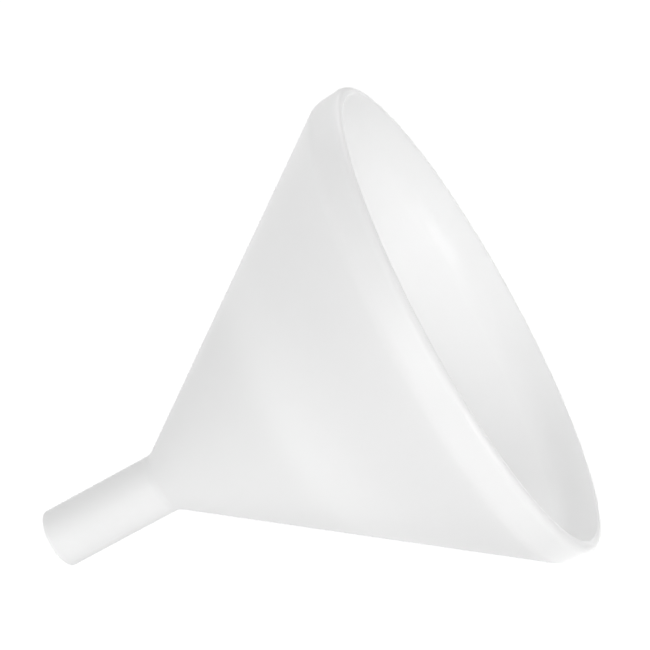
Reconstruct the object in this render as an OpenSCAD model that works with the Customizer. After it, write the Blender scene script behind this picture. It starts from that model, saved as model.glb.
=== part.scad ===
// Large conical Buchner funnel with a loose perforated plate.
// One moulding makes the collar, the cone and the stem. The plate drops in from above and rests
// on the cone's wall by its bevelled edge.
// Millimetres. +Z runs up the funnel's axis, and the origin is the centre of the stem's open end.

/* [Mouth] */
// Outside diameter at the rim
mouth_d = 260; // [240:1:300]
// Height of the upright collar below the rim
collar_h = 16; // [10:0.5:24]
// How far the collar leans outward over its height
collar_draft = 0.9; // [0.3:0.1:2]
// Wall thickness of the collar
collar_wall = 5.5; // [5:0.1:7]
// Rounding of the rim's outer edge
rim_outer_round = 3.2; // [0.6:0.1:3.6]
// Rounding of the rim's inner edge
rim_inner_round = 0.8; // [0.4:0.1:1.2]

/* [Cone] */
// Height of the cone between the stem and the collar
cone_h = 169; // [150:1:200]
// Wall thickness of the cone
cone_wall = 3.2; // [2.5:0.1:3.6]
// Rounding outside, where the cone meets the collar
shoulder_round = 12; // [2:0.5:16]
// Rounding inside, where the cone meets the collar
inner_shoulder_round = 20; // [2:0.5:26]

/* [Stem] */
// Outside diameter of the stem
stem_d = 32; // [28:0.5:40]
// Bore through the stem
bore_d = 26; // [20:0.5:26]
// Length of the stem below the cone
stem_l = 67; // [50:1:90]
// Rounding outside, where the stem meets the cone
neck_round = 10; // [2:0.5:16]
// Rounding inside, where the bore opens into the cone
throat_round = 6; // [2:0.5:10]
// Rounding of both edges of the stem's open end
tip_round = 0.5; // [0.2:0.1:1]

/* [Filter plate] */
// Diameter of the plate's flat top, a little more than a 125 mm filter paper
plate_d = 128; // [100:1:150]
// Thickness of the plate
plate_t = 5; // [4:0.5:8]
// Clearance on the radius between the plate's edge and the cone
plate_clearance = 0.3; // [0.2:0.05:0.5]
// Bevel that breaks the plate's top and bottom edges
plate_bevel = 0.4; // [0.2:0.1:0.8]
// Diameter of the drain holes
hole_d = 3; // [2:0.5:4]
// Distance from one ring of holes to the next
ring_pitch = 8.5; // [7:0.5:9]
// Rings of holes round the middle one
ring_count = 6; // [4:1:6]

/* [Hidden] */

// Facets round the axis, in a small hole, and along each rounded corner
AXIS_FACETS = 180;
HOLE_FACETS = 32;
CORNER_FACETS = 8;
// Holes in a ring, for each ring out from the middle, so that the holes stay evenly spread
HOLES_PER_RING = 6;
// How far a cutting tool runs past the face it cuts
OVERRUN = 1;

// Heights up the axis
shoulder_z = stem_l + cone_h;
rim_z = shoulder_z + collar_h;

// Outside radii
stem_r = stem_d / 2;
rim_r = mouth_d / 2;
shoulder_r = rim_r - collar_draft;

// The cone's radius grows by this much for each millimetre of height
cone_slope = (shoulder_r - stem_r) / cone_h;
// The collar's radius grows by this much for each millimetre of height
collar_slope = collar_draft / collar_h;

// Inside, the cone's wall measured across the radius, and the radius it would have at the neck
cone_wall_across = cone_wall * sqrt(1 + cone_slope * cone_slope);
cone_inner_at_neck = stem_r - cone_wall_across;

// Where the bore opens into the cone, and where the cone's inside meets the collar's
bore_r = bore_d / 2;
throat_z = stem_l + (bore_r - cone_inner_at_neck) / cone_slope;
collar_inner_at_shoulder = shoulder_r - collar_wall;
inner_shoulder_z = shoulder_z + (collar_inner_at_shoulder - cone_inner_at_neck - cone_slope * cone_h)
    / (cone_slope - collar_slope);

// The plate sits where the inside of the cone is just wider than its top
plate_r = plate_d / 2;
plate_top_z = stem_l + (plate_r + plate_clearance - cone_inner_at_neck) / cone_slope;
plate_under_z = plate_top_z - plate_t;

// Radius of the cone's inside at height z
function cone_inner_r(z) = cone_inner_at_neck + cone_slope * (z - stem_l);
// Radius of the collar's inside at height z
function collar_inner_r(z) = collar_inner_at_shoulder + collar_slope * (z - shoulder_z);
// Radius of the plate's bevelled edge at height z
function plate_edge_r(z) = cone_inner_r(z) - plate_clearance;

// Direction from one point to another
function toward(from, to) = (to - from) / norm(to - from);

// Points of an arc of radius r that rounds the corner between the sides to before and to after
function rounded(corner, before, after, r) =
    let (
        one = toward(corner, before),
        two = toward(corner, after),
        half = acos(one * two) / 2,
        middle = corner + toward([0, 0], one + two) * r / sin(half),
        start = corner + one * r / tan(half) - middle,
        turn = (one.x * two.y - one.y * two.x > 0 ? -1 : 1) * (180 - 2 * half)
    )
    [
        for (i = [0 : CORNER_FACETS])
            let (a = turn * i / CORNER_FACETS)
            middle + [start.x * cos(a) - start.y * sin(a), start.x * sin(a) + start.y * cos(a)]
    ];

// Corners of the wall's section, as [radius, height, rounding], up the outside and down the inside
wall_corners = [
    [stem_r, 0, tip_round],
    [stem_r, stem_l, neck_round],
    [shoulder_r, shoulder_z, shoulder_round],
    [rim_r, rim_z, rim_outer_round],
    [collar_inner_r(rim_z), rim_z, rim_inner_round],
    [cone_inner_r(inner_shoulder_z), inner_shoulder_z, inner_shoulder_round],
    [bore_r, throat_z, throat_round],
    [bore_r, 0, tip_round]
];

// The corner's place, without its rounding
function place(c) = [c[0], c[1]];

// Outline through all the corners of a section, each one rounded
function outline(corners) =
    let (n = len(corners))
    [
        for (i = [0 : n - 1])
            each rounded(
                place(corners[i]),
                place(corners[(i + n - 1) % n]),
                place(corners[(i + 1) % n]),
                corners[i][2])
    ];

// Collar, cone and stem in one moulding
module funnel_body() {
    color("whitesmoke")
        rotate_extrude($fn = AXIS_FACETS)
            polygon(outline(wall_corners));
}

// One ring of drain holes, or the middle hole for ring 0
module hole_ring(ring) {
    count = max(1, ring * HOLES_PER_RING);
    for (i = [0 : count - 1])
        rotate([0, 0, i * 360 / count])
            translate([ring * ring_pitch, 0, plate_under_z - OVERRUN])
                cylinder(d = hole_d, h = plate_t + 2 * OVERRUN, $fn = HOLE_FACETS);
}

// The plate without its holes: a disc whose edge is a slice of the cone
module plate_blank() {
    under_r = plate_edge_r(plate_under_z);
    top_r = plate_edge_r(plate_top_z);
    rotate_extrude($fn = AXIS_FACETS)
        polygon([
            [0, plate_under_z],
            [under_r - plate_bevel, plate_under_z],
            [plate_edge_r(plate_under_z + plate_bevel), plate_under_z + plate_bevel],
            [plate_edge_r(plate_top_z - plate_bevel), plate_top_z - plate_bevel],
            [top_r - plate_bevel, plate_top_z],
            [0, plate_top_z]
        ]);
}

// Loose perforated plate
module filter_plate() {
    color("white")
        difference() {
            plate_blank();
            for (ring = [0 : ring_count])
                hole_ring(ring);
        }
}

funnel_body();
filter_plate();
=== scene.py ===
import math

import bmesh
import bpy
from mathutils import Matrix, Vector


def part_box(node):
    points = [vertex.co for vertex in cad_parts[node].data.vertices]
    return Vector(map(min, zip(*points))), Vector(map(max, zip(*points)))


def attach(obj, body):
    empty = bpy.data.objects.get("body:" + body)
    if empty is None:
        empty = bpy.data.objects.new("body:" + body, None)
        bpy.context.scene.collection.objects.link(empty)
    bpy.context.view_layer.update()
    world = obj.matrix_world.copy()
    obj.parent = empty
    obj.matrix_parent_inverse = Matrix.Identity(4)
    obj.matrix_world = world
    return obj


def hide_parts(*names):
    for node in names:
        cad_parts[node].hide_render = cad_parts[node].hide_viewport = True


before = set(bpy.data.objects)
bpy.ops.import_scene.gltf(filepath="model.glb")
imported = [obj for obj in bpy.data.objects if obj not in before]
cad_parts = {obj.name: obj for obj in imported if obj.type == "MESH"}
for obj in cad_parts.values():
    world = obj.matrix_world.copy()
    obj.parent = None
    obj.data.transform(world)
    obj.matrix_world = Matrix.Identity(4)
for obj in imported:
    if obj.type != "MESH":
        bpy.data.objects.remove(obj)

SCENE = bpy.context.scene
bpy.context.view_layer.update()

# Sizes of the object, from the frame
BODY_LOW, BODY_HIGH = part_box("funnel_body")
PLATE_LOW, PLATE_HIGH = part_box("filter_plate")
MOUTH_R = (BODY_HIGH.x - BODY_LOW.x) / 2
RIM_Z = BODY_HIGH.z
MIDDLE = (BODY_LOW + BODY_HIGH) / 2

MM = 0.001


# ---------------------------------------------------------------- camera

# The camera looks a little down into the mouth. It is turned on its side, as in the photograph,
# where the funnel lies with its stem to the lower left.
VIEW_DISTANCE = 8.0 * MOUTH_R
VIEW_ELEVATION = math.radians(17.37)
VIEW_ROLL = math.radians(61.19)
LENS_MM = 112.3
# The point looked at, from the object's middle: to the left, and up the axis
AIM = MIDDLE + Vector((-0.240 * MOUTH_R, 0, 0.429 * MOUTH_R))


def make_camera():
    """The scene's camera, at the photograph's viewing angle."""
    data = bpy.data.cameras.new("camera")
    data.lens = LENS_MM
    data.sensor_width = 36
    data.clip_end = 100
    camera = bpy.data.objects.new("camera", data)
    SCENE.collection.objects.link(camera)
    back = Vector((0, -math.cos(VIEW_ELEVATION), math.sin(VIEW_ELEVATION)))
    camera.location = MIDDLE + back * VIEW_DISTANCE
    forward = (AIM - camera.location).normalized()
    level_right = forward.cross(Vector((0, 0, 1))).normalized()
    level_up = level_right.cross(forward)
    right = math.cos(VIEW_ROLL) * level_right + math.sin(VIEW_ROLL) * level_up
    up = math.cos(VIEW_ROLL) * level_up - math.sin(VIEW_ROLL) * level_right
    camera.rotation_mode = "QUATERNION"
    camera.rotation_quaternion = Matrix((right, up, -forward)).transposed().to_quaternion()
    SCENE.camera = camera


# ---------------------------------------------------------------- floor and light

FLOOR_DROP = 1.2
FLOOR_SIZE = 300.0
# Behind the funnel the floor glows white, as a studio's background does; the rest has a weaker glow,
# which lights the funnel from below like a lamp.
# The white begins and is full at these distances back.
BACKGROUND_STARTS = 1.0
BACKGROUND_WHITE = 2.2
NEAR_GLOW = 0.185
FAR_GLOW = 0.623
# The white runs back in a wedge: its middle line, half width and faded half width, per metre back
BACKGROUND_SLANT = -0.056
BACKGROUND_HALF = 0.29
BACKGROUND_FADED = 0.8

# Brightness of the surround
SURROUND = 0.529
# Distance of the soft boxes from the funnel's middle, and their size
BOX_AWAY = 1.7
BOX_SIZE = 0.9


def make_floor():
    """A white floor, far enough below that no shadow of the funnel shows on it. It glows: white behind
    the funnel, and weaker elsewhere, where the glow lights the funnel from below.
    """
    bpy.ops.mesh.primitive_plane_add(size=FLOOR_SIZE, location=(0, 0, -FLOOR_DROP))
    floor = bpy.context.object
    floor.name = "floor"
    material, nodes, links, shader = new_material("floor_white")
    shader.inputs["Base Color"].default_value = (0.8, 0.8, 0.8, 1)
    shader.inputs["Roughness"].default_value = 0.9
    shader.inputs["Emission Color"].default_value = (1, 1, 1, 1)
    where = nodes.new("ShaderNodeTexCoord")
    split = nodes.new("ShaderNodeSeparateXYZ")
    links.new(where.outputs["Object"], split.inputs["Vector"])
    depth = ramp(nodes, links, split.outputs["Y"], BACKGROUND_STARTS, BACKGROUND_WHITE, 0, 1)
    slant = math_node(nodes, links, "DIVIDE", split.outputs["X"], split.outputs["Y"])
    aside = math_node(nodes, links, "SUBTRACT", slant, BACKGROUND_SLANT)
    aside = math_node(nodes, links, "ABSOLUTE", aside)
    width = ramp(nodes, links, aside, BACKGROUND_HALF, BACKGROUND_FADED, 1, 0)
    white = math_node(nodes, links, "MULTIPLY", depth, width)
    glow = ramp(nodes, links, white, 0, 1, NEAR_GLOW, FAR_GLOW, "LINEAR")
    links.new(glow, shader.inputs["Emission Strength"])
    floor.data.materials.append(material)


def soft_box(name, turn, rise, watts):
    """A soft box at a turn from +X towards +Y and a rise above the level, in degrees."""
    a, e = math.radians(turn), math.radians(rise)
    away = Vector((math.cos(a) * math.cos(e), math.sin(a) * math.cos(e), math.sin(e)))
    data = bpy.data.lights.new(name, "AREA")
    data.shape = "SQUARE"
    data.size = BOX_SIZE
    data.energy = watts
    light = bpy.data.objects.new(name, data)
    light.location = MIDDLE + away * BOX_AWAY
    light.rotation_mode = "QUATERNION"
    light.rotation_quaternion = (-away).to_track_quat("-Z", "Y")
    SCENE.collection.objects.link(light)


def make_light():
    """A pale surround, and soft boxes round the funnel: strong before it, weaker behind and beside it."""
    world = bpy.data.worlds.new("surround")
    SCENE.world = world
    world.use_nodes = True
    background = world.node_tree.nodes["Background"]
    background.inputs["Color"].default_value = (1, 1, 1, 1)
    background.inputs["Strength"].default_value = SURROUND
    soft_box("front_right", -45, 30, 7.83)
    soft_box("front", -90, 0, 7.0)
    soft_box("above_right", 0, 60, 2.09)
    soft_box("behind_right", 60, 0, 2.48)
    soft_box("behind", 90, 0, 4.18)
    soft_box("behind_left", 135, 30, 3.24)
    soft_box("left", 150, 5, 2.18)
    SCENE.view_settings.view_transform = "Standard"
    SCENE.view_settings.look = "None"


# ---------------------------------------------------------------- materials

# How far light wanders in the body up to the plate and at the rim, and how far below the rim it is full
LOW_CLEARNESS = 1.5 * MM
RIM_CLEARNESS = 25 * MM
CLEAR_DEPTH = 20 * MM


def new_material(name):
    """An empty node material and its nodes, links and shader."""
    material = bpy.data.materials.new(name)
    material.use_nodes = True
    nodes, links = material.node_tree.nodes, material.node_tree.links
    return material, nodes, links, nodes["Principled BSDF"]


def noise(nodes, links, scale, detail=3.0, stretch=(1, 1, 1)):
    """Noise over the object's own coordinates, stretched by direction. Returns its factor."""
    where = nodes.new("ShaderNodeTexCoord")
    mapping = nodes.new("ShaderNodeMapping")
    mapping.inputs["Scale"].default_value = stretch
    links.new(where.outputs["Object"], mapping.inputs["Vector"])
    texture = nodes.new("ShaderNodeTexNoise")
    texture.inputs["Scale"].default_value = scale
    texture.inputs["Detail"].default_value = detail
    links.new(mapping.outputs["Vector"], texture.inputs["Vector"])
    return texture.outputs["Fac"]


def spread(nodes, links, factor, low, high):
    """A noise's factor, which is mostly between 0.3 and 0.7, spread over a range of values."""
    return ramp(nodes, links, factor, 0.3, 0.7, low, high, "LINEAR")


def ramp(nodes, links, value, first, last, low, high, kind="SMOOTHSTEP"):
    """A value turned from one range into another, and held at its ends."""
    node = nodes.new("ShaderNodeMapRange")
    node.interpolation_type = kind
    node.inputs["From Min"].default_value = first
    node.inputs["From Max"].default_value = last
    node.inputs["To Min"].default_value = low
    node.inputs["To Max"].default_value = high
    links.new(value, node.inputs["Value"])
    return node.outputs["Result"]


def math_node(nodes, links, operation, *values):
    """A sum, product or the like of sockets and numbers."""
    node = nodes.new("ShaderNodeMath")
    node.operation = operation
    for i, value in enumerate(values):
        if isinstance(value, (int, float)):
            node.inputs[i].default_value = value
        else:
            links.new(value, node.inputs[i])
    return node.outputs["Value"]


def mix_colors(nodes, links, factor, first, second):
    """Two colours mixed by a factor."""
    node = nodes.new("ShaderNodeMix")
    node.data_type = "RGBA"
    node.inputs["A"].default_value = (*first, 1)
    node.inputs["B"].default_value = (*second, 1)
    links.new(factor, node.inputs["Factor"])
    return node.outputs["Result"]


def bump(nodes, links, height, distance, strength=1.0, under=None):
    """A bump of that height in metres, over another bump if there is one."""
    node = nodes.new("ShaderNodeBump")
    node.inputs["Distance"].default_value = distance
    node.inputs["Strength"].default_value = strength
    links.new(height, node.inputs["Height"])
    if under is not None:
        links.new(under, node.inputs["Normal"])
    return node.outputs["Normal"]


def clearness(nodes, links):
    """How far light wanders in the plastic: little up to the plate, whose edge then doesn't show through,
    and most at the rim, which glows. Chosen for the look; a real moulding is the same all over."""
    where = nodes.new("ShaderNodeTexCoord")
    split = nodes.new("ShaderNodeSeparateXYZ")
    links.new(where.outputs["Object"], split.inputs["Vector"])
    height = split.outputs["Z"]
    return ramp(nodes, links, height, PLATE_HIGH.z, RIM_Z - CLEAR_DEPTH, LOW_CLEARNESS, RIM_CLEARNESS)


def milky_plastic():
    """Natural polypropylene as moulded: milky, lets some light through, satin, faintly streaked."""
    material, nodes, links, shader = new_material("milky_polypropylene")
    cloud = spread(nodes, links, noise(nodes, links, 9.0, 2.0), 0, 1)
    color = mix_colors(nodes, links, cloud, (0.872, 0.874, 0.872), (0.900, 0.902, 0.901))
    links.new(color, shader.inputs["Base Color"])
    streak = noise(nodes, links, 60.0, 4.0, (1, 1, 0.12))
    links.new(spread(nodes, links, streak, 0.30, 0.42), shader.inputs["Roughness"])
    shader.inputs["IOR"].default_value = 1.49
    shader.inputs["Subsurface Weight"].default_value = 1.0
    shader.inputs["Subsurface Radius"].default_value = (1.0, 1.0, 1.0)
    links.new(clearness(nodes, links), shader.inputs["Subsurface Scale"])
    peel = noise(nodes, links, 420.0, 2.0)
    wave = noise(nodes, links, 26.0, 1.0)
    under = bump(nodes, links, wave, 0.25 * MM)
    links.new(bump(nodes, links, peel, 0.02 * MM, 1.0, under), shader.inputs["Normal"])
    return material


def plate_plastic():
    """White filled polypropylene, opaque and matte, with a fine moulded grain."""
    material, nodes, links, shader = new_material("white_polypropylene")
    cloud = spread(nodes, links, noise(nodes, links, 30.0, 3.0), 0, 1)
    color = mix_colors(nodes, links, cloud, (0.80, 0.81, 0.80), (0.85, 0.855, 0.845))
    links.new(color, shader.inputs["Base Color"])
    rub = noise(nodes, links, 160.0, 4.0)
    links.new(spread(nodes, links, rub, 0.42, 0.58), shader.inputs["Roughness"])
    shader.inputs["Subsurface Weight"].default_value = 0.3
    shader.inputs["Subsurface Radius"].default_value = (1.0, 1.0, 1.0)
    shader.inputs["Subsurface Scale"].default_value = 1.5 * MM
    grain = noise(nodes, links, 900.0, 2.0)
    links.new(bump(nodes, links, grain, 0.03 * MM), shader.inputs["Normal"])
    return material


# ---------------------------------------------------------------- the funnel's body

# Segments round the axis
TURNS = 288
# How close to the +X half-plane a CAD point lies to be on it
SEAM = 1e-6


def cad_section(node):
    """The section of a CAD body of revolution on its +X side, in order, as (radius, height) points."""
    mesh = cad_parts[node].data
    points = {
        v.index: (round(v.co.x, 6), round(v.co.z, 6))
        for v in mesh.vertices
        if v.co.x > 0 and abs(v.co.y) < SEAM
    }
    neighbours = {}
    for edge in mesh.edges:
        a, b = (points.get(i) for i in edge.vertices)
        if a and b and a != b:
            neighbours.setdefault(a, set()).add(b)
            neighbours.setdefault(b, set()).add(a)
    start = min(neighbours)
    section, here = [start], start
    while True:
        ahead = [p for p in neighbours[here] if p not in section]
        if not ahead:
            return section
        here = ahead[0]
        section.append(here)


def lathe(name, section):
    """A closed mesh of quads, swept from a section round the axis."""
    mesh = bpy.data.meshes.new(name)
    turns = [2 * math.pi * i / TURNS for i in range(TURNS)]
    points = [(r * math.cos(a), r * math.sin(a), z) for a in turns for r, z in section]
    n = len(section)
    faces = [
        (
            i * n + j,
            (i + 1) % TURNS * n + j,
            (i + 1) % TURNS * n + (j + 1) % n,
            i * n + (j + 1) % n,
        )
        for i in range(TURNS)
        for j in range(n)
    ]
    mesh.from_pydata(points, [], faces)
    mesh.update()
    return mesh


def finish_mesh(name, mesh, material):
    """An object of the mesh, with its faces turned outward and smoothly shaded."""
    work = bmesh.new()
    work.from_mesh(mesh)
    bmesh.ops.recalc_face_normals(work, faces=work.faces)
    for face in work.faces:
        face.smooth = True
    work.to_mesh(mesh)
    work.free()
    mesh.materials.append(material)
    piece = bpy.data.objects.new(name, mesh)
    SCENE.collection.objects.link(piece)
    weights = piece.modifiers.new("flat_faces_stay_flat", "WEIGHTED_NORMAL")
    weights.keep_sharp = True
    return piece


def make_body(material):
    """Collar, cone and stem: one moulding."""
    mesh = lathe("moulded_funnel", cad_section("funnel_body"))
    piece = finish_mesh("moulded_funnel", mesh, material)
    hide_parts("funnel_body")
    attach(piece, "funnel")


# ---------------------------------------------------------------- the perforated plate

# Holes in rings of 6, 12, 18 and so on round a middle one
HOLE_R = 1.5 * MM
RING_PITCH = 8.5 * MM
RING_COUNT = 6
# Rounding of every edge of the plate
PLATE_ROUND = 0.35 * MM
# Part of the plate's radius, from its edge inward, that the cone's slope is cut into
EDGE_BAND = 8 * MM


def add_circle(outline, center, radius, steps):
    """A closed smooth circle in a flat curve."""
    spline = outline.splines.new("BEZIER")
    spline.bezier_points.add(3)
    reach = radius * 4 / 3 * math.tan(math.pi / 8)
    for i, point in enumerate(spline.bezier_points):
        out = Vector((math.cos(i * math.pi / 2), math.sin(i * math.pi / 2), 0))
        along = Vector((-out.y, out.x, 0))
        point.co = Vector(center) + out * radius
        point.handle_left = point.co - along * reach
        point.handle_right = point.co + along * reach
    spline.use_cyclic_u = True
    spline.resolution_u = steps


def plate_slope():
    """How much the plate's radius shrinks for each metre down its tapered edge."""
    points = [v.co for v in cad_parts["filter_plate"].data.vertices]
    low = max(math.hypot(p.x, p.y) for p in points if p.z - PLATE_LOW.z < 0.1 * MM)
    high = max(math.hypot(p.x, p.y) for p in points if PLATE_HIGH.z - p.z < 0.1 * MM)
    return (high - low) / (PLATE_HIGH.z - PLATE_LOW.z)


def make_plate(material):
    """The loose plate: a disc pierced by rings of holes, its edge cut to the cone's slope."""
    radius = (PLATE_HIGH.x - PLATE_LOW.x) / 2
    thickness = PLATE_HIGH.z - PLATE_LOW.z
    outline = bpy.data.curves.new("plate_outline", "CURVE")
    outline.dimensions = "2D"
    outline.fill_mode = "BOTH"
    outline.extrude = thickness / 2 - PLATE_ROUND
    outline.bevel_depth = PLATE_ROUND
    outline.bevel_resolution = 2
    outline.offset = -PLATE_ROUND
    add_circle(outline, (0, 0, 0), radius, 48)
    add_circle(outline, (0, 0, 0), HOLE_R, 7)
    for ring in range(1, RING_COUNT + 1):
        for i in range(6 * ring):
            turn = 2 * math.pi * i / (6 * ring)
            where = (ring * RING_PITCH * math.cos(turn), ring * RING_PITCH * math.sin(turn), 0)
            add_circle(outline, where, HOLE_R, 7)
    holder = bpy.data.objects.new("plate_outline", outline)
    SCENE.collection.objects.link(holder)
    graph = bpy.context.evaluated_depsgraph_get()
    mesh = bpy.data.meshes.new_from_object(holder.evaluated_get(graph))
    mesh.name = "pierced_plate"
    bpy.data.objects.remove(holder)
    slope = plate_slope()
    for vertex in mesh.vertices:
        p = vertex.co
        here = math.hypot(p.x, p.y)
        drop = thickness / 2 - p.z
        if here > radius - EDGE_BAND:
            share = (here - radius + EDGE_BAND) / EDGE_BAND
            narrower = 1 - slope * drop * share / here
            p.x *= narrower
            p.y *= narrower
        p.z += (PLATE_LOW.z + PLATE_HIGH.z) / 2
    mesh.materials.clear()
    piece = finish_mesh("pierced_plate", mesh, material)
    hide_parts("filter_plate")
    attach(piece, "plate")


make_camera()
make_floor()
make_light()
make_body(milky_plastic())
make_plate(plate_plastic())
